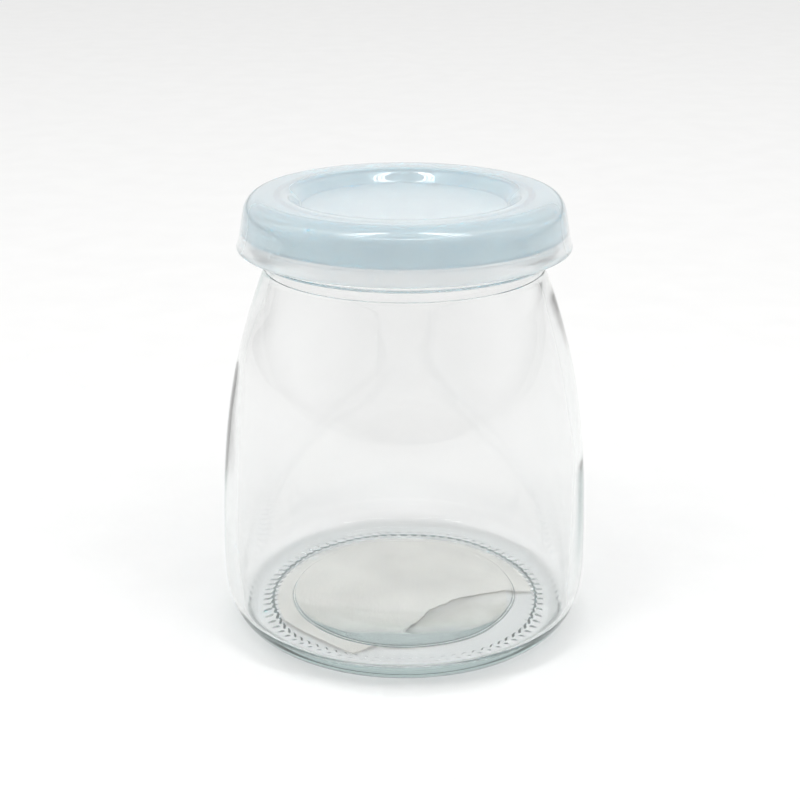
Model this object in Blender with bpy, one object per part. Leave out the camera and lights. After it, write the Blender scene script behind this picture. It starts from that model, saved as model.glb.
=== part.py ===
"""A clear glass jar with a soft push-on lid, and the torn paper label under its base.

Sizes are in metres. The jar's axis is +Z and it stands on z = 0, on a knurled ring.
The jar and the lid are turned shapes: each is a section of (radius, height) points
carried once round the axis. The label is a flat sheet with one torn side.
"""
from math import atan2, cos, hypot, pi, radians, sin

import bmesh
import bpy
from mathutils import Vector
from mathutils.geometry import interpolate_bezier

# The glass underneath: a bearing ring, a groove inside it and a low disc in the middle.
BEARING_INNER = 0.0270
BEARING_OUTER = 0.0296
KNURL_COUNT = 80
KNURL_DEPTH = 0.0004
GROOVE_HEIGHT = 0.0018
GROOVE_OUTER = 0.0257
DISC_RADIUS = 0.0226
DISC_BULGE = 0.0010
DISC_POWER = 3
DISC_STEPS = 5

# The glass body, from the heel up to the crease below the neck.
BELLY_RADIUS = 0.0360
BELLY_HEIGHT = 0.0120
CREASE_RADIUS = 0.0266
CREASE_HEIGHT = 0.0720
HEEL_HANDLES = (0.0334, 0.0006), (0.0359, 0.0045)
BODY_HANDLES = (0.0360, 0.0354), (0.0345, 0.0518)
WALL = 0.0024
NECK_WALL = 0.0023
FLOOR_HEIGHT = 0.0049
FLOOR_RISE = 0.0014
FLOOR_RADIUS = 0.0299
FLOOR_STEPS = 4
INNER_BELLY_HEIGHT = 0.0189
INNER_BODY_HANDLES = (0.0319, 0.0520), (0.0336, 0.0370)
INNER_HEEL_HANDLES = (0.0336, 0.0055), (0.0317, 0.0049)

# The glass neck: a bead under the lid's edge, a shallow waist and a rounded mouth.
BEAD_RADIUS = 0.0289
BEAD_LOW = 0.0742
BEAD_HIGH = 0.0766
BEAD_START = (0.0274, 0.0731)
BEAD_ROUND = 0.0003
WAIST_RADIUS = 0.0284
WAIST_LOW = 0.0773
WAIST_HIGH = 0.0784
FINISH_LOW = 0.0794
THROAT_HEIGHT = 0.0769
MOUTH_OUTER = 0.0288
MOUTH_INNER = 0.0249
MOUTH_HEIGHT = 0.0844
MOUTH_ROUND = 0.0016

# The lid: a flared skirt, a broad crown, a shallow dish and a plug ring inside the mouth.
LID_WALL = 0.0009
SKIRT_LOW = 0.0761
SKIRT_RADIUS = 0.0317
SHOULDER_RADIUS = 0.03045
SHOULDER_HEIGHT = 0.0823
CROWN_HEIGHT = 0.0860
CROWN_OUTER = 0.0266
CROWN_INNER = 0.0232
LIP_RADIUS = 0.0211
LIP_HEIGHT = 0.0851
DISH_RADIUS = 0.0195
DISH_HEIGHT = 0.0834
DISH_INSET = 0.0004
PLUG_RADIUS = 0.0245
PLUG_LOW = 0.0779
LIP_HANDLES = (0.0217, 0.0857), (0.0222, 0.0860)
SHOULDER_HANDLES = (0.0289, 0.0860), (0.0301, 0.0845)
SKIRT_HANDLES = (0.0308, 0.0802), (0.0312, 0.0776)
INNER_SKIRT_HANDLES = (0.0303, 0.0778), (0.0299, 0.0802)
INNER_SHOULDER_HANDLES = (0.0293, 0.0838), (0.0284, 0.0851)

# The label: a sheet trimmed to the inside of the bearing ring, with a corner at the front.
LABEL_LOW = 0.0002
LABEL_THICKNESS = 0.0003
LABEL_RADIUS = 0.0263
LABEL_ARC_START = radians(1)
LABEL_ARC_END = radians(207)
LABEL_CORNER = (-0.0096, -0.0243)
TORN_EDGE = ((-0.0010, -0.0158), (0.0028, -0.0121), (0.0048, -0.0084),
             (0.0105, -0.0037), (0.0160, -0.0010), (0.0212, 0.0009))

LABEL_ARC_POINTS = 32
LID_SIDES = 64
SMOOTH_ANGLE = radians(35)
FLAT = 1e-6


def clear_scene():
    for item in list(bpy.data.objects):
        bpy.data.objects.remove(item, do_unlink=True)


def make_material(name, colour, roughness, transmission=0.0):
    material = bpy.data.materials.new(name)
    material.use_nodes = True
    shader = material.node_tree.nodes["Principled BSDF"]
    shader.inputs["Base Color"].default_value = (*colour, 1.0)
    shader.inputs["Roughness"].default_value = roughness
    shader.inputs["Metallic"].default_value = 0.0
    shader.inputs["Transmission Weight"].default_value = transmission
    return material


def curve(start, handles, end, count):
    """Return count points along a Bezier curve in the section's plane."""
    knots = [Vector(point) for point in (start, *handles, end)]
    return [(point.x, point.y) for point in interpolate_bezier(*knots, count)]


def dome(radius, edge_height, rise, power, steps):
    """Return points from the middle of a shallow dome out to its edge."""
    parts = [index / steps for index in range(steps + 1)]
    return [(radius * part, edge_height + rise * (1 - part ** power)) for part in parts]


def arc(centre, radius, start, end, count):
    """Return count points along an arc, with its angles in radians."""
    step = (end - start) / (count - 1)
    angles = [start + step * index for index in range(count)]
    return [(centre[0] + radius * cos(a), centre[1] + radius * sin(a)) for a in angles]


def spin_section(section, sides):
    """Turn a section about +Z into a closed mesh."""
    mesh = bmesh.new()
    points = [mesh.verts.new((radius, 0.0, height)) for radius, height in section]
    edges = [mesh.edges.new(pair) for pair in zip(points, points[1:])]
    bmesh.ops.spin(mesh, geom=points + edges, cent=(0, 0, 0), axis=(0, 0, 1),
                   angle=2 * pi, steps=sides, use_merge=True)
    bmesh.ops.remove_doubles(mesh, verts=mesh.verts, dist=FLAT)
    bmesh.ops.recalc_face_normals(mesh, faces=mesh.faces)
    return mesh


def finish(name, mesh, material):
    """Turn a bmesh into a named, smooth-shaded object."""
    data = bpy.data.meshes.new(name)
    mesh.to_mesh(data)
    mesh.free()
    data.shade_smooth()
    data.set_sharp_from_angle(angle=SMOOTH_ANGLE)
    data.materials.append(material)
    item = bpy.data.objects.new(name, data)
    bpy.context.scene.collection.objects.link(item)
    return item


def underside():
    """The base from its bulging middle out to the edge of the bearing ring."""
    disc = dome(DISC_RADIUS, GROOVE_HEIGHT, -DISC_BULGE, DISC_POWER, DISC_STEPS)
    return disc + [(GROOVE_OUTER, GROOVE_HEIGHT), (BEARING_INNER, 0.0), (BEARING_OUTER, 0.0)]


def outer_wall():
    """The heel and the body from the bearing ring up to the crease."""
    belly = (BELLY_RADIUS, BELLY_HEIGHT)
    heel = curve((BEARING_OUTER, 0.0), HEEL_HANDLES, belly, 6)
    body = curve(belly, BODY_HANDLES, (CREASE_RADIUS, CREASE_HEIGHT), 9)
    return heel[1:] + body[1:]


def neck():
    """The bead, the waist and the rounded mouth, from outside to inside."""
    bead = [BEAD_START,
            (BEAD_RADIUS - BEAD_ROUND, BEAD_LOW),
            (BEAD_RADIUS, BEAD_LOW + 2 * BEAD_ROUND),
            (BEAD_RADIUS, BEAD_HIGH)]
    waist = [(WAIST_RADIUS, WAIST_LOW), (WAIST_RADIUS, WAIST_HIGH)]
    top = MOUTH_HEIGHT - MOUTH_ROUND
    outer_round = arc((MOUTH_OUTER - MOUTH_ROUND, top), MOUTH_ROUND, 0.0, pi / 2, 4)
    inner_round = arc((MOUTH_INNER + MOUTH_ROUND, top), MOUTH_ROUND, pi / 2, pi, 4)
    return bead + waist + [(MOUTH_OUTER, FINISH_LOW)] + outer_round + inner_round


def inner_wall():
    """The inside from the mouth down to the middle of the floor."""
    belly = (BELLY_RADIUS - WALL, INNER_BELLY_HEIGHT)
    body = curve((CREASE_RADIUS - NECK_WALL, CREASE_HEIGHT), INNER_BODY_HANDLES, belly, 7)
    heel = curve(belly, INNER_HEEL_HANDLES, (FLOOR_RADIUS, FLOOR_HEIGHT), 6)
    floor = dome(FLOOR_RADIUS, FLOOR_HEIGHT, FLOOR_RISE, 2, FLOOR_STEPS)
    return [(MOUTH_INNER, THROAT_HEIGHT)] + body + heel[1:-1] + floor[::-1]


def is_on_bearing_rim(edge):
    """True for an edge that runs round either rim of the bearing ring."""
    first, second = (vert.co for vert in edge.verts)
    level = max(abs(first.z), abs(second.z)) < FLAT
    return level and abs(hypot(first.x, first.y) - hypot(second.x, second.y)) < 10 * FLAT


def is_mid_pitch(vert):
    """True for a point half way between two sides of the jar."""
    pitch = 2 * pi / KNURL_COUNT
    part = (atan2(vert.co.y, vert.co.x) / pitch) % 1.0
    return abs(part - 0.5) < 0.1


def knurl_bearing_ring(mesh):
    """Cut a radial groove half way along each side of the ring, leaving flat lands."""
    rims = [edge for edge in mesh.edges if is_on_bearing_rim(edge)]
    bmesh.ops.subdivide_edges(mesh, edges=rims, cuts=3, use_grid_fill=True)
    for vert in mesh.verts:
        if abs(vert.co.z) < FLAT and is_mid_pitch(vert):
            vert.co.z = KNURL_DEPTH
    many_sided = [face for face in mesh.faces if len(face.verts) > 4]
    bmesh.ops.triangulate(mesh, faces=many_sided)


def make_jar():
    mesh = spin_section(underside() + outer_wall() + neck() + inner_wall(), KNURL_COUNT)
    knurl_bearing_ring(mesh)
    glass = make_material("clear_glass", (0.90, 0.97, 0.96), 0.02, transmission=1.0)
    return finish("jar", mesh, glass)


def lid_top():
    """The upper face of the lid, from the middle of the dish out to the skirt's edge."""
    shoulder_edge = (SHOULDER_RADIUS, SHOULDER_HEIGHT)
    dish = [(0.0, DISH_HEIGHT), (DISH_RADIUS, DISH_HEIGHT)]
    lip = curve((LIP_RADIUS, LIP_HEIGHT), LIP_HANDLES, (CROWN_INNER, CROWN_HEIGHT), 4)
    shoulder = curve((CROWN_OUTER, CROWN_HEIGHT), SHOULDER_HANDLES, shoulder_edge, 6)
    skirt = curve(shoulder_edge, SKIRT_HANDLES, (SKIRT_RADIUS, SKIRT_LOW), 4)
    return dish + lip + shoulder + skirt[1:]


def lid_underside():
    """The lower face of the lid, from the skirt's edge in to the middle of the dish."""
    ceiling = CROWN_HEIGHT - LID_WALL
    shoulder_edge = (SHOULDER_RADIUS - LID_WALL, SHOULDER_HEIGHT)
    skirt = curve((SKIRT_RADIUS - LID_WALL, SKIRT_LOW), INNER_SKIRT_HANDLES, shoulder_edge, 3)
    shoulder = curve(shoulder_edge, INNER_SHOULDER_HANDLES, (CROWN_OUTER, ceiling), 4)
    plug = [(PLUG_RADIUS, ceiling), (PLUG_RADIUS, PLUG_LOW),
            (PLUG_RADIUS - LID_WALL, PLUG_LOW), (PLUG_RADIUS - LID_WALL, ceiling)]
    dish = [(LIP_RADIUS + LID_WALL, ceiling),
            (DISH_RADIUS + DISH_INSET, DISH_HEIGHT - LID_WALL),
            (0.0, DISH_HEIGHT - LID_WALL)]
    return skirt + shoulder[1:] + plug + dish


def make_lid():
    mesh = spin_section(lid_top() + lid_underside(), LID_SIDES)
    plastic = make_material("soft_lid_plastic", (0.62, 0.74, 0.83), 0.35)
    return finish("lid", mesh, plastic)


def make_label():
    """A sheet bounded by the recess behind, one straight cut edge and one torn edge."""
    outline = arc((0.0, 0.0), LABEL_RADIUS, LABEL_ARC_START, LABEL_ARC_END,
                  LABEL_ARC_POINTS)
    outline += [LABEL_CORNER, *TORN_EDGE]
    mesh = bmesh.new()
    sheet = mesh.faces.new([mesh.verts.new((x, y, LABEL_LOW)) for x, y in outline])
    lifted = bmesh.ops.extrude_face_region(mesh, geom=[sheet], use_keep_orig=True)
    top = [item for item in lifted["geom"] if isinstance(item, bmesh.types.BMVert)]
    bmesh.ops.translate(mesh, verts=top, vec=(0.0, 0.0, LABEL_THICKNESS))
    bmesh.ops.recalc_face_normals(mesh, faces=mesh.faces)
    paper = make_material("label_paper", (0.86, 0.86, 0.83), 0.8)
    return finish("label", mesh, paper)


clear_scene()
make_jar()
make_lid()
make_label()
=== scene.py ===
# %% [markdown]
# # A small glass jar with a push-on lid
#
# The object is a single-serving food jar: a bell-shaped glass body on a knurled foot, a soft
# translucent lid pressed over its mouth, and the torn rest of a paper label under the base.
# The cells below turn each piece about its axis, as the real moulds were turned, and then give
# it a finish. Everything is built inside a fixed frame that already holds the plain solids.

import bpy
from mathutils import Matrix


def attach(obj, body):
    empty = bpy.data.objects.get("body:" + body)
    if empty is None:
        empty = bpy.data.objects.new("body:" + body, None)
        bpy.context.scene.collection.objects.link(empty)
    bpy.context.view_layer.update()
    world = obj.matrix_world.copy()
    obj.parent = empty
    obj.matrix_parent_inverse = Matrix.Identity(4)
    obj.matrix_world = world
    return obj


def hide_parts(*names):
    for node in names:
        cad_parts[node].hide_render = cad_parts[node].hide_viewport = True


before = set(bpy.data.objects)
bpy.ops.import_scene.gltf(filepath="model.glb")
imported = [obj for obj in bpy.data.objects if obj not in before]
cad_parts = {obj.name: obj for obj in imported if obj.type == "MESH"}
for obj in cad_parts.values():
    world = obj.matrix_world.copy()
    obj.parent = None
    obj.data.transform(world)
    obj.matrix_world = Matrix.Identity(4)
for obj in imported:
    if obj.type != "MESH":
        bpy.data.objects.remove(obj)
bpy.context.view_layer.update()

# %% [markdown]
# ## Units
#
# A mould drawing gives radii and heights in millimetres, and Blender measures in metres. One
# factor turns the first into the second, so that the numbers below can be read as on a drawing.

# %% Tools and units
from math import atan2, cos, hypot, pi, radians, sin

import bmesh
import bpy
from mathutils import Vector, noise
from mathutils.geometry import interpolate_bezier

MM = 0.001
WELD = 0.001 * MM
scene = bpy.context.scene
print("one millimetre is", MM, "m, and points closer than", WELD, "m are one point")

# %% [markdown]
# ## Drawing a section
#
# Glass for jars is blown or pressed in a turned iron mould, so every part of the wall is
# round about one axis, and half of a cut through the jar says everything about it. The section
# is a chain of points, and its soft stretches are Bezier curves, because moulds are cut that
# way: one smooth sweep between two radii. A lathe could be a Screw modifier, but a spin of the
# points gives a mesh at once, which the next cells can still cut and bend point by point.


# %% Section helpers
def sweep(start, first_handle, second_handle, end, count):
    """Points in (radius, height) millimetres along one Bezier stretch."""
    knots = [Vector(point) for point in (start, first_handle, second_handle, end)]
    return [(point.x, point.y) for point in interpolate_bezier(*knots, count)]


def rounded(centre, radius, start, end, count):
    """Points along an arc of a section."""
    step = (end - start) / (count - 1)
    turns = [start + step * index for index in range(count)]
    return [(centre[0] + radius * cos(a), centre[1] + radius * sin(a)) for a in turns]


def dome(radius, edge, rise, power, steps):
    """Points from the middle of a shallow dome out to its edge."""
    parts = [index / steps for index in range(steps + 1)]
    return [(radius * part, edge + rise * (1 - part ** power)) for part in parts]


print("a dome 20 mm wide and 1 mm high:", dome(10.0, 0.0, 1.0, 2, 4))

# %% [markdown]
# ## From a section to a piece
#
# The spin carries the chain once round the axis and merges its two ends. Where the chain
# touches the axis, all copies of a point fall together, so doubles are removed, and the shape is
# closed at its poles too. Smooth shading hides the facets, and only real corners stay sharp.

# %% Spin and finish helpers
SHARP_ANGLE = radians(40)


def spun(section, sides):
    """Carry a section once round the axis and close it."""
    mesh = bmesh.new()
    points = [mesh.verts.new((radius * MM, 0.0, height * MM)) for radius, height in section]
    edges = [mesh.edges.new(pair) for pair in zip(points, points[1:])]
    bmesh.ops.spin(mesh, geom=points + edges, cent=(0, 0, 0), axis=(0, 0, 1),
                   angle=2 * pi, steps=sides, use_merge=True)
    bmesh.ops.remove_doubles(mesh, verts=mesh.verts, dist=WELD)
    bmesh.ops.recalc_face_normals(mesh, faces=mesh.faces)
    return mesh


def finished(name, mesh, material):
    """Make a smooth-shaded object of a bmesh and put it on the object's one body."""
    data = bpy.data.meshes.new(name)
    mesh.to_mesh(data)
    mesh.free()
    data.shade_smooth()
    data.set_sharp_from_angle(angle=SHARP_ANGLE)
    data.materials.append(material)
    piece = bpy.data.objects.new(name, data)
    scene.collection.objects.link(piece)
    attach(piece, "root")
    print(name, len(data.polygons), "faces")
    return piece


# %% [markdown]
# ## Surfaces that drift
#
# Nothing that is moulded, blown or rolled is perfectly even. Glass has soft waves and cords,
# plastic cools with a faint mottle, and paper is cloudy. All of that is slow noise at the right
# scale. One node group gives it as a height and as a colour, so that each material only says
# how large the clouds are and between which two colours they run.

# %% One group for uneven surfaces
CLOUD_LOW = 0.3
CLOUD_HIGH = 0.7


def drift_group():
    """A node group: soft noise as a height, and as a colour between two given ones."""
    group = bpy.data.node_groups.new("surface_drift", "ShaderNodeTree")
    sockets = group.interface
    sockets.new_socket("Place", in_out="INPUT", socket_type="NodeSocketVector")
    sockets.new_socket("Scale", in_out="INPUT", socket_type="NodeSocketFloat")
    sockets.new_socket("Detail", in_out="INPUT", socket_type="NodeSocketFloat")
    sockets.new_socket("Low", in_out="INPUT", socket_type="NodeSocketColor")
    sockets.new_socket("High", in_out="INPUT", socket_type="NodeSocketColor")
    sockets.new_socket("Height", in_out="OUTPUT", socket_type="NodeSocketFloat")
    sockets.new_socket("Colour", in_out="OUTPUT", socket_type="NodeSocketColor")
    given = group.nodes.new("NodeGroupInput")
    given_back = group.nodes.new("NodeGroupOutput")
    cloud = group.nodes.new("ShaderNodeTexNoise")
    spread = group.nodes.new("ShaderNodeMapRange")
    blend = group.nodes.new("ShaderNodeMix")
    blend.data_type = "RGBA"
    spread.inputs["From Min"].default_value = CLOUD_LOW
    spread.inputs["From Max"].default_value = CLOUD_HIGH
    group.links.new(given.outputs["Place"], cloud.inputs["Vector"])
    group.links.new(given.outputs["Scale"], cloud.inputs["Scale"])
    group.links.new(given.outputs["Detail"], cloud.inputs["Detail"])
    group.links.new(cloud.outputs["Fac"], spread.inputs["Value"])
    group.links.new(spread.outputs["Result"], blend.inputs["Factor"])
    group.links.new(given.outputs["Low"], blend.inputs["A"])
    group.links.new(given.outputs["High"], blend.inputs["B"])
    group.links.new(spread.outputs["Result"], given_back.inputs["Height"])
    group.links.new(blend.outputs["Result"], given_back.inputs["Colour"])
    return group


DRIFT = drift_group()
print("group", DRIFT.name, "with", len(DRIFT.nodes), "nodes")

# %% [markdown]
# ## Material helpers
#
# Each material starts as Blender's Principled shader. The drift is placed on the piece's own
# coordinates, so it turns with the piece and needs no unwrapping. Clear and milky materials get
# their colour from the volume inside, because a deep place is then darker than a thin one by
# itself, as in real glass. A change along a height or a radius is a Map Range of that number.


# %% Material helpers
def new_material(name):
    """A material with its node tree and its Principled shader."""
    material = bpy.data.materials.new(name)
    material.use_nodes = True
    return material, material.node_tree, material.node_tree.nodes["Principled BSDF"]


def drift(tree, scale, detail=1.0, stretch=(1.0, 1.0, 1.0), low=(0, 0, 0), high=(1, 1, 1)):
    """Place the group in a material, on the piece's own coordinates; scale is per metre."""
    place = tree.nodes.new("ShaderNodeTexCoord")
    turn = tree.nodes.new("ShaderNodeMapping")
    cloud = tree.nodes.new("ShaderNodeGroup")
    cloud.node_tree = DRIFT
    turn.inputs["Scale"].default_value = stretch
    cloud.inputs["Scale"].default_value = scale
    cloud.inputs["Detail"].default_value = detail
    cloud.inputs["Low"].default_value = (*low, 1.0)
    cloud.inputs["High"].default_value = (*high, 1.0)
    tree.links.new(place.outputs["Object"], turn.inputs["Vector"])
    tree.links.new(turn.outputs["Vector"], cloud.inputs["Place"])
    return cloud


def raised_by(tree, shader, cloud, reach):
    """Let a drift raise the surface by up to its reach in millimetres."""
    bump = tree.nodes.new("ShaderNodeBump")
    bump.inputs["Distance"].default_value = reach * MM
    tree.links.new(cloud.outputs["Height"], bump.inputs["Height"])
    tree.links.new(bump.outputs["Normal"], shader.inputs["Normal"])


def absorbing(tree, colour, density):
    """Fill a material with a volume that takes light away along its path."""
    tint = tree.nodes.new("ShaderNodeVolumeAbsorption")
    tint.inputs["Color"].default_value = (*colour, 1.0)
    tint.inputs["Density"].default_value = density
    tree.links.new(tint.outputs["Volume"], tree.nodes["Material Output"].inputs["Volume"])


def fade(tree, value, start, end, low, high):
    """A number that runs from low to high while the value runs from start to end."""
    step = tree.nodes.new("ShaderNodeMapRange")
    step.inputs["From Min"].default_value = start
    step.inputs["From Max"].default_value = end
    step.inputs["To Min"].default_value = low
    step.inputs["To Max"].default_value = high
    tree.links.new(value, step.inputs["Value"])
    return step


# %% [markdown]
# ## The glass
#
# Soda-lime glass is clear in a thin wall and blue-green where light travels far in it, at the
# heel and along the rims. So the colour isn't painted on: the surface is nearly colourless, and
# the volume inside takes red away first. Faint cords, the streaks of unevenly mixed glass, run
# up the wall, and they change the surface's tone and height a little.

# %% Jar glass
GLASS_IOR = 1.52
GLASS_TINT = (0.34, 0.51, 0.50)
GLASS_DENSITY = 18.0
CORD_LOW = (0.972, 0.967, 0.967)
CORD_HIGH = (0.978, 0.973, 0.973)
CORD_STRETCH = (1.0, 1.0, 0.4)


def jar_glass():
    """Clear glass, tinted by its depth."""
    material, tree, shader = new_material("jar_glass")
    shader.inputs["Roughness"].default_value = 0.0
    shader.inputs["IOR"].default_value = GLASS_IOR
    shader.inputs["Transmission Weight"].default_value = 1.0
    cords = drift(tree, scale=70.0, stretch=CORD_STRETCH, low=CORD_LOW, high=CORD_HIGH)
    tree.links.new(cords.outputs["Colour"], shader.inputs["Base Color"])
    raised_by(tree, shader, cords, reach=0.03)
    absorbing(tree, GLASS_TINT, GLASS_DENSITY)
    return material


print("glass of index", GLASS_IOR, "and density", GLASS_DENSITY, "per metre")

# %% [markdown]
# ## The outside of the jar
#
# The base is the busiest part of the mould. A narrow land carries the jar, so that the hot
# glass touches the belt at few places; inside it is a groove, and in the middle a disc that
# bulges down. The heel and the bell above it are two sweeps. Under the mouth, a shelf, a parting
# line of the mould and a bead give the lid its hold.

# %% The jar's outer section
DISC_RADIUS = 21.9
DISC_EDGE = 1.22
DISC_BULGE = -0.65
DISC_POWER = 2.5
FOOT_INNER = 27.35
FOOT_OUTER = 29.6
BELLY = 36.0
BELLY_LOW = 12.0
CREASE = (26.6, 72.0)
BEAD = 28.9
NECK_OUTER = 28.8
NECK_INNER = 24.9
MOUTH_TOP = 84.4
MOUTH_ROUND = 1.6


def base_section():
    """The underside, from the middle of the disc out to the land that carries the jar."""
    disc = dome(DISC_RADIUS, DISC_EDGE, DISC_BULGE, DISC_POWER, steps=18)
    rim = sweep((DISC_RADIUS, DISC_EDGE), (22.1, 1.235), (22.15, 1.31), (22.4, 1.32), 6)
    notch = [(22.48, 1.26), (22.56, 1.31)]
    groove = sweep((23.1, 1.28), (24.2, 1.18), (25.6, 0.96), (26.5, 0.78), 4)
    step = [(26.66, 0.68), (26.78, 0.54), (26.88, 0.38), (26.98, 0.21), (27.1, 0.08)]
    land = [(FOOT_INNER, 0.0), (27.6, 0.0), (28.2, 0.0), (28.8, 0.0), (29.1, 0.0), (29.4, 0.0)]
    return disc + rim[1:] + notch + groove + step + land


def outside_section():
    """The heel and the bell-shaped body."""
    heel = sweep((FOOT_OUTER, 0.0), (33.4, 0.6), (35.9, 4.5), (BELLY, BELLY_LOW), 20)
    body = sweep((BELLY, BELLY_LOW), (BELLY, 35.4), (34.5, 51.8), CREASE, 32)
    return heel + body[1:]


def neck_section():
    """The seam, the shelf and the bead under the lid, and the rounded mouth."""
    seam = [(26.46, 72.01), (26.62, 72.16)]
    shelf = sweep((26.75, 73.3), (26.8, 74.1), (27.1, 74.3), (28.4, 74.35), 13)
    parting = [(28.75, 74.5), (BEAD, 74.74), (28.62, 74.86), (BEAD, 75.0)]
    bead = [(BEAD, 76.2), (28.7, 76.8)]
    waist = [(28.4, 77.3), (28.4, 78.4), (NECK_OUTER, 79.4)]
    top = MOUTH_TOP - MOUTH_ROUND
    outer = rounded((NECK_OUTER - MOUTH_ROUND, top), MOUTH_ROUND, 0.0, pi / 2, count=8)
    inner = rounded((NECK_INNER + MOUTH_ROUND, top), MOUTH_ROUND, pi / 2, pi, count=8)
    return seam + shelf + parting + bead + waist + outer + inner


outer_section = base_section() + outside_section() + neck_section()
print("outer section", len(outer_section), "points")

# %% [markdown]
# ## The inside of the jar
#
# The inside was formed by air against hot glass, so it has no edges at all. It follows the
# bell at the depth of the wall, turns in a tight heel and rises to the middle of the floor. That
# rise matters: with the bulge of the disc below it, it bends the light at the front of the base
# so far that the table can't be seen through it, and a green band shows there.

# %% The jar's inner section
WALL = 2.36
FLOOR_EDGE = (30.4, 4.0)
FLOOR_RISE = 1.75
KNURLS = 80
SIDES_PER_KNURL = 6


def inside_section():
    """The inner wall, heel and floor, from the mouth down to the middle."""
    inner_belly = (BELLY - WALL, 15.5)
    body = sweep((24.3, 72.0), (31.9, 52.0), (BELLY - WALL, 37.0), inner_belly, 30)
    heel = sweep(inner_belly, (BELLY - WALL, 5.0), (32.95, FLOOR_EDGE[1]), FLOOR_EDGE, 26)
    floor = dome(*FLOOR_EDGE, FLOOR_RISE, power=2, steps=10)
    return [(NECK_INNER, 76.9), (24.6, 74.4)] + body + heel[1:-1] + floor[::-1]


jar_mesh = spun(outer_section + inside_section(), KNURLS * SIDES_PER_KNURL)
middle_depth = FLOOR_EDGE[1] + FLOOR_RISE - DISC_EDGE - DISC_BULGE
print("glass at the middle of the base", round(middle_depth, 2), "mm deep")

# %% [markdown]
# ## The knurled foot
#
# The land of a real jar is knurled: short cuts across it keep the hot glass off the belt, and
# later they let air in under the wet jar. Here the turned mesh is lifted by a wave with one
# crest for each knurl, which leaves the mesh closed. A boolean with eighty cutters would give
# harder edges than pressed glass has. The heel has shallow scallops at the same pitch.

# %% The knurled foot
KNURLED_BELOW = 2.0
# Each is a depth, the inner and outer radius of its ring, and the width of the ring's slopes.
CUTS = (0.17, 27.0, 28.55, 0.25)
SCALLOPS = (0.15, 32.3, 35.2, 0.8)
BITES = (0.35, 26.4, 27.25, 0.3)


def in_ring(radius, depth, start, end, rim):
    """The depth inside a ring and nothing outside it, with a short slope at both rims."""
    return depth * max(0.0, min(1.0, (radius - start) / rim, (end - radius) / rim))


def knurl(mesh):
    """Lift cuts into the land and scallops into the heel, and bite into the land's inner edge."""
    for vert in mesh.verts:
        if vert.co.z < KNURLED_BELOW * MM:
            radius = hypot(vert.co.x, vert.co.y) / MM
            turn = atan2(vert.co.y, vert.co.x)
            wave = 0.5 - 0.5 * cos(KNURLS * turn)
            bite = in_ring(radius, *BITES) * wave
            vert.co.z += (in_ring(radius, *CUTS) + in_ring(radius, *SCALLOPS)) * wave * MM
            vert.co.x -= bite * MM * cos(turn)
            vert.co.y -= bite * MM * sin(turn)


knurl(jar_mesh)
print(KNURLS, "knurls, one every", round(2 * pi * FOOT_INNER / KNURLS, 2), "mm")

# %% [markdown]
# ## A wall that was blown
#
# The mould fixes the outside, and nothing fixes the inside: the wall wanders by a tenth of a
# millimetre, most of all at the heel, and on two sides it grows thinner upwards and then
# recovers. That is enough to bend what is seen through it. It also traps light that comes up
# the wall, and such places show as dark streaks along the sides of the jar.

# %% The uneven inner wall
BLOWN_FROM = 5.0
BLOWN_TO = 71.0
WAVE_ACROSS = 9.0
WAVE_UP = 18.0
WANDER = 0.05
HEEL_WANDER = 0.07
HEEL_TOP = 22.0
# Each stretch is its lower end, its thinnest height, its upper end and how much thinner it is.
LEFT_THINNING = [(24.0, 52.0, 66.0, 0.48)]
RIGHT_THINNING = [(17.0, 34.0, 44.0, 0.13), (42.0, 68.0, 71.0, 0.22)]


def thinned(height, stretches):
    """How much thinner the wall is at a height: it grows slowly and comes back quickly."""
    thinner = 0.0
    for start, most, end, depth in stretches:
        if start < height <= most:
            thinner += depth * ((height - start) / (most - start)) ** 2
        elif most < height < end:
            thinner += depth * (0.5 + 0.5 * cos(pi * (height - most) / (end - most)))
    return thinner


def moved_out(place, radius):
    """How far the inner wall lies outside its section at a place, in millimetres."""
    height = place.z / MM
    side = place.x / radius
    spot = Vector((place.x / WAVE_ACROSS, place.y / WAVE_ACROSS, place.z / WAVE_UP)) / MM
    wander = (WANDER + HEEL_WANDER * max(0.0, 1.0 - height / HEEL_TOP)) * noise.noise(spot)
    left = max(0.0, -side) * thinned(height, LEFT_THINNING)
    right = max(0.0, side) * thinned(height, RIGHT_THINNING)
    return wander + left + right


def blow(mesh):
    """Let the inner wall wander; its points are those whose normals face the axis."""
    mesh.normal_update()
    for vert in mesh.verts:
        radius = hypot(vert.co.x, vert.co.y)
        faces_in = radius > 0.0 and vert.normal.x * vert.co.x + vert.normal.y * vert.co.y < 0.0
        if faces_in and BLOWN_FROM * MM < vert.co.z < BLOWN_TO * MM:
            stretch = 1.0 + moved_out(vert.co, radius) * MM / radius
            vert.co.x *= stretch
            vert.co.y *= stretch


blow(jar_mesh)
jar = finished("jar_body", jar_mesh, jar_glass())
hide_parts("jar")
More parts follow.
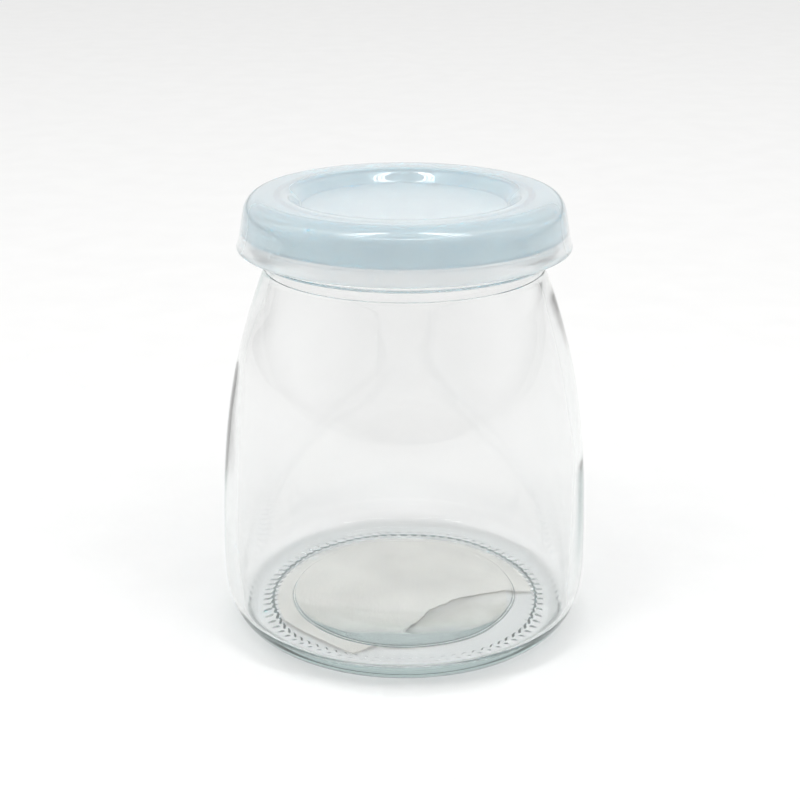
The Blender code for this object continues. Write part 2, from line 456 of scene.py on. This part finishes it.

# %% [markdown]
# ## The lid's plastic
#
# The lid is moulded in soft polyethylene, which scatters light like thin milk: one wall looks
# almost clear, and two or three behind each other look blue. The flat of the dish and the
# flange at the lower edge are thinner than the rest, and their colour is painted paler: painted
# light for the light that falls on the flat of the dish from above and shines through the single
# wall of the flange. The flange is polished, the walls above it are satin under a gloss, and the
# flat of the dish has no gloss at all.
# The index is set below polyethylene's real 1.51, which keeps the thin walls bright and calm,
# and a coat of its own gives the gloss.

# %% Lid plastic
DISH_FLAT = (19.2 * MM, 19.7 * MM)
FLANGE_POLISH = (79.2 * MM, 79.8 * MM)
# The flange below these heights and the flat of the dish get painted light: a paler colour.
FLANGE_PAINTED_LIGHT = (78.9 * MM, 79.5 * MM)
DISH_PAINTED_LIGHT = 0.35
PAINTED_LIGHT_PLASTIC = (0.96, 0.94, 0.94, 1.0)
PLASTIC_TINT = (0.28, 0.80, 0.88)
PLASTIC_DENSITY = 380.0
MOTTLE_LOW = (0.86, 0.885, 0.91)
MOTTLE_HIGH = (0.91, 0.93, 0.945)
POLISHED = 0.06
SATIN = 0.24


def radius_and_height(tree):
    """The distance from the axis and the height of a point, in metres."""
    place = tree.nodes.new("ShaderNodeTexCoord")
    axes = tree.nodes.new("ShaderNodeSeparateXYZ")
    flat = tree.nodes.new("ShaderNodeVectorMath")
    flat.operation = "MULTIPLY"
    flat.inputs[1].default_value = (1.0, 1.0, 0.0)
    away = tree.nodes.new("ShaderNodeVectorMath")
    away.operation = "LENGTH"
    tree.links.new(place.outputs["Object"], axes.inputs[0])
    tree.links.new(place.outputs["Object"], flat.inputs[0])
    tree.links.new(flat.outputs["Vector"], away.inputs[0])
    return away.outputs["Value"], axes.outputs["Z"]


def plastic_colour_and_painted_light(tree, mottle, radius, height):
    """The mottled colour, with painted light that makes it paler in the thin dish and in the
    flange.
    """
    dish = fade(tree, radius, *DISH_FLAT, DISH_PAINTED_LIGHT, 0.0)
    flange = fade(tree, height, *FLANGE_PAINTED_LIGHT, 1.0, 0.0)
    painted_light_share = tree.nodes.new("ShaderNodeMath")
    painted_light_share.operation = "MAXIMUM"
    painted_light_mix = tree.nodes.new("ShaderNodeMix")
    painted_light_mix.data_type = "RGBA"
    painted_light_mix.inputs["B"].default_value = PAINTED_LIGHT_PLASTIC
    tree.links.new(dish.outputs["Result"], painted_light_share.inputs[0])
    tree.links.new(flange.outputs["Result"], painted_light_share.inputs[1])
    tree.links.new(painted_light_share.outputs["Value"], painted_light_mix.inputs["Factor"])
    tree.links.new(mottle.outputs["Colour"], painted_light_mix.inputs["A"])
    return painted_light_mix


def lid_plastic():
    """Milky plastic with a glossy coat."""
    material, tree, shader = new_material("lid_plastic")
    shader.inputs["IOR"].default_value = 1.28
    shader.inputs["Transmission Weight"].default_value = 0.58
    shader.inputs["Coat Roughness"].default_value = 0.022
    shader.inputs["Coat IOR"].default_value = 1.75
    radius, height = radius_and_height(tree)
    satin = fade(tree, height, *FLANGE_POLISH, POLISHED, SATIN)
    gloss = fade(tree, radius, *DISH_FLAT, 0.0, 1.0)
    mottle = drift(tree, scale=120.0, detail=3.0, low=MOTTLE_LOW, high=MOTTLE_HIGH)
    colour = plastic_colour_and_painted_light(tree, mottle, radius, height)
    tree.links.new(satin.outputs["Result"], shader.inputs["Roughness"])
    tree.links.new(gloss.outputs["Result"], shader.inputs["Coat Weight"])
    tree.links.new(colour.outputs["Result"], shader.inputs["Base Color"])
    raised_by(tree, shader, mottle, reach=0.005)
    absorbing(tree, PLASTIC_TINT, PLASTIC_DENSITY)
    return material


print("plastic of density", PLASTIC_DENSITY, "per metre")

# %% [markdown]
# ## The lid
#
# A shallow dish lies inside a raised crown, and a flared skirt grips the bead of the neck. A
# ring under the crown plugs the mouth. The lid is one moulding with a thin wall, so one
# section, its upper side and then its underside, makes all of it in one spin.

# %% The lid
LID_SIDES = 240


def lid_top_section():
    """The upper side, from the middle of the dish out and down to the rim."""
    dish = [(0.0, 83.4), (8.0, 83.4), (16.0, 83.4), (19.2, 83.4)]
    wall = sweep((19.5, 83.42), (19.8, 83.5), (19.9, 83.7), (21.1, 85.1), 8)
    lip = sweep((21.1, 85.1), (21.7, 85.7), (22.2, 86.0), (23.2, 86.0), 6)
    shoulder = sweep((26.6, 86.0), (28.9, 86.0), (30.1, 84.5), (30.45, 82.3), 14)
    skirt = sweep((30.45, 82.3), (30.8, 80.2), (31.2, 77.6), (31.62, 76.5), 10)
    rim = [(31.7, 76.35), (31.7, 76.2), (31.6, 76.1)]
    return dish + wall + lip[1:] + shoulder + skirt[1:] + rim


def lid_under_section():
    """The underside, from the rim up the skirt and over the plug ring to the middle."""
    rim = [(31.3, 76.1), (31.2, 76.2), (31.2, 76.35)]
    flange = sweep((31.32, 76.55), (31.2, 77.0), (31.0, 77.9), (30.9, 78.4), 4)
    snap = [(30.72, 78.58), (30.86, 78.76), (30.78, 79.2)]
    skirt = sweep((29.95, 79.4), (29.85, 80.4), (29.75, 81.4), (29.65, 82.3), 5)
    shoulder = sweep((29.65, 82.3), (29.4, 83.8), (28.4, 85.05), (26.6, 85.05), 8)
    plug = [(24.5, 85.1), (24.5, 78.1), (24.3, 77.9), (23.4, 77.9), (23.2, 78.1), (23.2, 85.1)]
    dish = [(22.0, 85.1), (20.4, 83.17), (10.0, 83.17), (0.0, 83.17)]
    return rim + flange + snap + skirt + shoulder[1:] + plug + dish


lid_mesh = spun(lid_top_section() + lid_under_section(), LID_SIDES)
lid = finished("lid_shell", lid_mesh, lid_plastic())
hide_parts("lid")

# %% [markdown]
# ## The paper
#
# White label paper is matt, a little warm and cloudy, and its fibres lie mostly one way, as
# they ran over the papermaker's wire. Large soft clouds make the colour, and a fine noise, drawn
# out along the fibres, makes the surface.

# %% Label paper
PAPER_LOW = (0.80, 0.775, 0.725)
PAPER_HIGH = (0.985, 0.955, 0.90)
PAPER_ROUGHNESS = 0.9
FIBRE_STRETCH = (1.0, 0.35, 1.0)


def label_paper():
    """Matt paper with clouds and fibres."""
    material, tree, shader = new_material("label_paper")
    shader.inputs["Roughness"].default_value = PAPER_ROUGHNESS
    clouds = drift(tree, scale=75.0, detail=4.0, low=PAPER_LOW, high=PAPER_HIGH)
    fibres = drift(tree, scale=1400.0, detail=2.0, stretch=FIBRE_STRETCH)
    tree.links.new(clouds.outputs["Colour"], shader.inputs["Base Color"])
    raised_by(tree, shader, fibres, reach=0.03)
    return material


label_material = label_paper()
print("material", label_material.name)

# %% [markdown]
# ## The torn label
#
# A round paper label was stuck under the base, and half of it has been pulled away, with a
# straight cut at one side. Torn paper has a soft edge where the fibres came apart, so the tear
# is broken into short steps that noise pushes about. The flat outline is then cut into small
# squares, because the sheet hangs in a shallow bowl and a single face can't bend.

# %% The torn label
LABEL_RADIUS = 25.9
LABEL_START = radians(1)
LABEL_END = radians(207)
TORN_POINTS = [(-9.6, -24.3), (-1.0, -15.8), (2.8, -12.1), (4.8, -8.4), (10.5, -3.7),
               (16.0, -1.0), (21.2, 0.9)]
TORN_PITCH = 0.45
TORN_REACH = 0.45
SQUARE = 2
SQUARES_FROM = -24
SQUARES_TO = 24
SHEET_LOW = 0.34
SHEET_DISH = 0.32
SHEET_REACH = 26.0
SHEET_THICK = 0.10


def torn(points, pitch, reach):
    """Break the runs of a torn outline into short steps, pushed about by noise."""
    edge = []
    for start, end in zip(points, points[1:]):
        run = Vector(end) - Vector(start)
        across = Vector((-run.y, run.x)).normalized()
        steps = max(1, round(run.length / pitch))
        for index in range(steps):
            spot = Vector(start) + run * (index / steps)
            edge.append(spot + across * reach * noise.noise(Vector((spot.x, spot.y, 0.0))))
    return edge + [Vector(points[-1])]


def cut_into_squares(mesh):
    """Cut a flat sheet along a grid of lines."""
    for cut in range(SQUARES_FROM, SQUARES_TO + SQUARE, SQUARE):
        for across in ((1, 0, 0), (0, 1, 0)):
            everything = mesh.verts[:] + mesh.edges[:] + mesh.faces[:]
            bmesh.ops.bisect_plane(mesh, geom=everything, dist=WELD, plane_no=across,
                                   plane_co=(cut * MM * across[0], cut * MM * across[1], 0))


def thicken(mesh, thickness):
    """Lift a copy of a sheet's faces, so that it becomes a closed thin slab."""
    lifted = bmesh.ops.extrude_face_region(mesh, geom=mesh.faces[:], use_keep_orig=True)
    raised = [item for item in lifted["geom"] if isinstance(item, bmesh.types.BMVert)]
    bmesh.ops.translate(mesh, verts=raised, vec=(0, 0, thickness * MM))
    bmesh.ops.recalc_face_normals(mesh, faces=mesh.faces)


def label_slab():
    """The label: an arc, the straight cut and the tear, dished and thickened."""
    outline = rounded((0.0, 0.0), LABEL_RADIUS, LABEL_START, LABEL_END, count=90)
    outline += torn(TORN_POINTS, TORN_PITCH, TORN_REACH)
    mesh = bmesh.new()
    mesh.faces.new([mesh.verts.new((x * MM, y * MM, 0.0)) for x, y in outline])
    cut_into_squares(mesh)
    for vert in mesh.verts:
        bend = SHEET_DISH * (hypot(vert.co.x, vert.co.y) / (SHEET_REACH * MM)) ** 2
        vert.co.z = (SHEET_LOW + bend) * MM
    thicken(mesh, SHEET_THICK)
    return mesh


label = finished("label_sheet", label_slab(), label_material)
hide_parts("label")

# %% [markdown]
# ## The ply that stayed behind
#
# Where the top of the label came away, the paper split in its thickness: a thin grey ply of
# fibre and glue stays behind. It is a round sheet just under the torn one. Its colour is a ramp
# along the direction that leads away from the tear, multiplied by clouds, so that no edge has to
# be modelled in so thin a film. The ramp is painted shade: dark at its start as a painted shadow
# of the torn edge, and dark again at its end as painted shade for the dark band at the front of
# the disc.

# %% The ply that stayed behind
PLY_LOW = 0.20
PLY_THICK = 0.06
PLY_RADIUS = 20.8
TEAR_SIDE = (0.657, -0.755, 0.0)
PLY_RUN = (10.0 * MM, 21.0 * MM)
# Each is a share of the run and the brightness there: dark at the start as painted shadow of the
# tear, dark at the end as painted shade.
PLY_PAINTED_SHADE = [(0.0, 0.60), (0.20, 0.80), (0.42, 0.94), (0.62, 0.96), (0.85, 0.76), (1.0, 0.68)]
PLY_WARMTH = (1.0, 0.98, 0.93)
PLY_CLOUD = (0.80, 0.79, 0.76)


def painted_tear_shade(tree):
    """A colour ramp along the direction away from the tear: painted shadow at the tear and
    painted shade at the far end.
    """
    place = tree.nodes.new("ShaderNodeTexCoord")
    along = tree.nodes.new("ShaderNodeVectorMath")
    along.operation = "DOT_PRODUCT"
    along.inputs[1].default_value = TEAR_SIDE
    tree.links.new(place.outputs["Object"], along.inputs[0])
    reach = fade(tree, along.outputs["Value"], *PLY_RUN, 0.0, 1.0)
    shade_ramp = tree.nodes.new("ShaderNodeValToRGB")
    for index, (spot, tone) in enumerate(PLY_PAINTED_SHADE):
        stops = shade_ramp.color_ramp.elements
        stop = stops[index] if index < 2 else stops.new(spot)
        stop.position = spot
        stop.color = (*(share * tone for share in PLY_WARMTH), 1.0)
    tree.links.new(reach.outputs["Result"], shade_ramp.inputs["Fac"])
    return shade_ramp


def ply_paper():
    """Grey fibre and glue, cloudy, with painted shade toned by the distance from the tear."""
    material, tree, shader = new_material("label_ply")
    shader.inputs["Roughness"].default_value = PAPER_ROUGHNESS
    shade_ramp = painted_tear_shade(tree)
    clouds = drift(tree, scale=180.0, detail=4.0, low=PLY_CLOUD)
    mixed = tree.nodes.new("ShaderNodeMix")
    mixed.data_type = "RGBA"
    mixed.blend_type = "MULTIPLY"
    mixed.inputs["Factor"].default_value = 1.0
    tree.links.new(shade_ramp.outputs["Color"], mixed.inputs["A"])
    tree.links.new(clouds.outputs["Colour"], mixed.inputs["B"])
    tree.links.new(mixed.outputs["Result"], shader.inputs["Base Color"])
    return material


ply_mesh = bmesh.new()
bmesh.ops.create_circle(ply_mesh, cap_ends=True, segments=120, radius=PLY_RADIUS * MM)
bmesh.ops.translate(ply_mesh, verts=ply_mesh.verts, vec=(0, 0, PLY_LOW * MM))
thicken(ply_mesh, PLY_THICK)
ply = finished("label_ply", ply_mesh, ply_paper())

# %% [markdown]
# ## The table
#
# Clear glass shows what is around it, so the surroundings make the picture. The jar stands on
# a wide sheet of matt white board. Real glass never quite touches what it stands on: a film of
# air stays between them, and without it the two surfaces would fall together and draw a dark
# ring. So the table lies a few hundredths of a millimetre below the jar.

# %% Table
AIR_FILM = 0.04
TABLE_REACH = 3.0
BOARD_LOW = (0.908, 0.908, 0.903)
BOARD_HIGH = (0.928, 0.928, 0.923)


def table_paint():
    """Matt white board."""
    material, tree, shader = new_material("table_paint")
    shader.inputs["Roughness"].default_value = 1.0
    shader.inputs["Specular IOR Level"].default_value = 0.0
    clouds = drift(tree, scale=60.0, detail=5.0, low=BOARD_LOW, high=BOARD_HIGH)
    tree.links.new(clouds.outputs["Colour"], shader.inputs["Base Color"])
    return material


table_mesh = bmesh.new()
bmesh.ops.create_grid(table_mesh, x_segments=1, y_segments=1, size=TABLE_REACH)
bmesh.ops.translate(table_mesh, verts=table_mesh.verts, vec=(0, 0, -AIR_FILM * MM))
table_data = bpy.data.meshes.new("table")
table_mesh.to_mesh(table_data)
table_mesh.free()
table_data.materials.append(table_paint())
table = bpy.data.objects.new("table", table_data)
scene.collection.objects.link(table)
print("table", 2 * TABLE_REACH, "m wide")

# %% [markdown]
# ## The room
#
# The room is white and bright above and behind the jar. It is dimmer behind the camera and
# round the horizon, and these dim parts draw the dark lines along the edges of the glass: a
# clear thing in an evenly bright room would hardly be seen. The camera itself sees one plain
# backdrop past the table's far edge.

# %% Room light
ROOM_STRENGTH = 0.88
BACKDROP = 0.83
# Each is a range of the direction along Y or Z, and the brightness at its two ends.
BEHIND_CAMERA = (-0.85, -0.10, 0.42, 1.12)
HORIZON = (0.0, 0.12, 0.52, 1.13)


def room_light():
    """A white room, dim behind the camera and round the horizon; the camera sees a backdrop."""
    world = bpy.data.worlds.new("room")
    scene.world = world
    world.use_nodes = True
    tree = world.node_tree
    background = tree.nodes["Background"]
    place = tree.nodes.new("ShaderNodeTexCoord")
    axes = tree.nodes.new("ShaderNodeSeparateXYZ")
    depth = fade(tree, axes.outputs["Y"], *BEHIND_CAMERA)
    height = fade(tree, axes.outputs["Z"], *HORIZON)
    darkest = tree.nodes.new("ShaderNodeMath")
    darkest.operation = "MINIMUM"
    path = tree.nodes.new("ShaderNodeLightPath")
    seen = tree.nodes.new("ShaderNodeMix")
    seen.inputs["B"].default_value = BACKDROP
    background.inputs["Strength"].default_value = ROOM_STRENGTH
    tree.links.new(place.outputs["Generated"], axes.inputs[0])
    for index, step in enumerate((depth, height)):
        step.interpolation_type = "SMOOTHSTEP"
        tree.links.new(step.outputs["Result"], darkest.inputs[index])
    tree.links.new(path.outputs["Is Camera Ray"], seen.inputs["Factor"])
    tree.links.new(darkest.outputs["Value"], seen.inputs["A"])
    tree.links.new(seen.outputs["Result"], background.inputs["Color"])


room_light()
print("world", scene.world.name, "with strength", ROOM_STRENGTH)

# %% [markdown]
# ## The windows
#
# Two tall windows, left and right in front of the jar, give the twin glints on the wall of the
# dish and on the lid's front. Each is three narrow lights side by side, as panes between
# glazing bars, and the outer ones stand further back. A lower, wide light between the windows
# stands for a bright sill.

# %% Windows
AIM_POINT = (0.0, 0.0, 0.08)
PANE_PLACES = (0.355, 0.415, 0.475)
PANE_SLANT = 0.68
PANE_FRONT = -0.66
PANE_HEIGHT = 1.08
PANE_SIZE = (0.02, 0.85)
PANE_POWER = 0.72
SILL_PLACE = (0.0, -0.74, 0.86)
SILL_SIZE = (0.80, 0.03)
SILL_POWER = 0.8


def panel(name, place, size, power):
    """A flat rectangular light aimed at the jar."""
    light = bpy.data.lights.new(name, "AREA")
    light.shape = "RECTANGLE"
    light.size = size[0]
    light.size_y = size[1]
    light.energy = power
    pane = bpy.data.objects.new(name, light)
    scene.collection.objects.link(pane)
    pane.location = place
    aim = Vector(AIM_POINT) - Vector(place)
    pane.rotation_euler = aim.to_track_quat("-Z", "Y").to_euler()


for side_name, side in (("left", -1.0), ("right", 1.0)):
    for index, across in enumerate(PANE_PLACES):
        spot = (side * across, PANE_SLANT * across + PANE_FRONT, PANE_HEIGHT)
        panel(f"window_{side_name}_{index}", spot, PANE_SIZE, PANE_POWER)
panel("window_sill", SILL_PLACE, SILL_SIZE, SILL_POWER)
print(len(bpy.data.lights), "lights")

# %% [markdown]
# ## The camera
#
# A short telephoto lens looks down at the jar from close by, as one looks at a jar on a table.
# Colours are shown as they are, without a film curve, so that the white board stays white.
# Light has to cross many walls to reach the base and leave it again, so its paths may be long,
# and nothing bright is clamped, because the base gets much of its light from rare bright paths.

# %% Camera and light paths
CAMERA_PLACE = (-0.00085, -0.296, 0.1513)
CAMERA_DOWN = radians(19.84)
CAMERA_LENS = 72.3

camera_data = bpy.data.cameras.new("camera")
camera_data.sensor_width = 36.0
camera_data.lens = CAMERA_LENS
camera_data.clip_start = 0.01
camera = bpy.data.objects.new("camera", camera_data)
scene.collection.objects.link(camera)
camera.location = CAMERA_PLACE
camera.rotation_euler = (pi / 2 - CAMERA_DOWN, 0, 0)
scene.camera = camera
scene.view_settings.view_transform = "Standard"
scene.view_settings.look = "None"

scene.cycles.max_bounces = 48
scene.cycles.transmission_bounces = 48
scene.cycles.glossy_bounces = 24
scene.cycles.diffuse_bounces = 12
scene.cycles.transparent_max_bounces = 16
scene.cycles.blur_glossy = 0.0
scene.cycles.sample_clamp_indirect = 0.0
print("camera", round(camera.location.length, 3), "m from the foot of the jar")
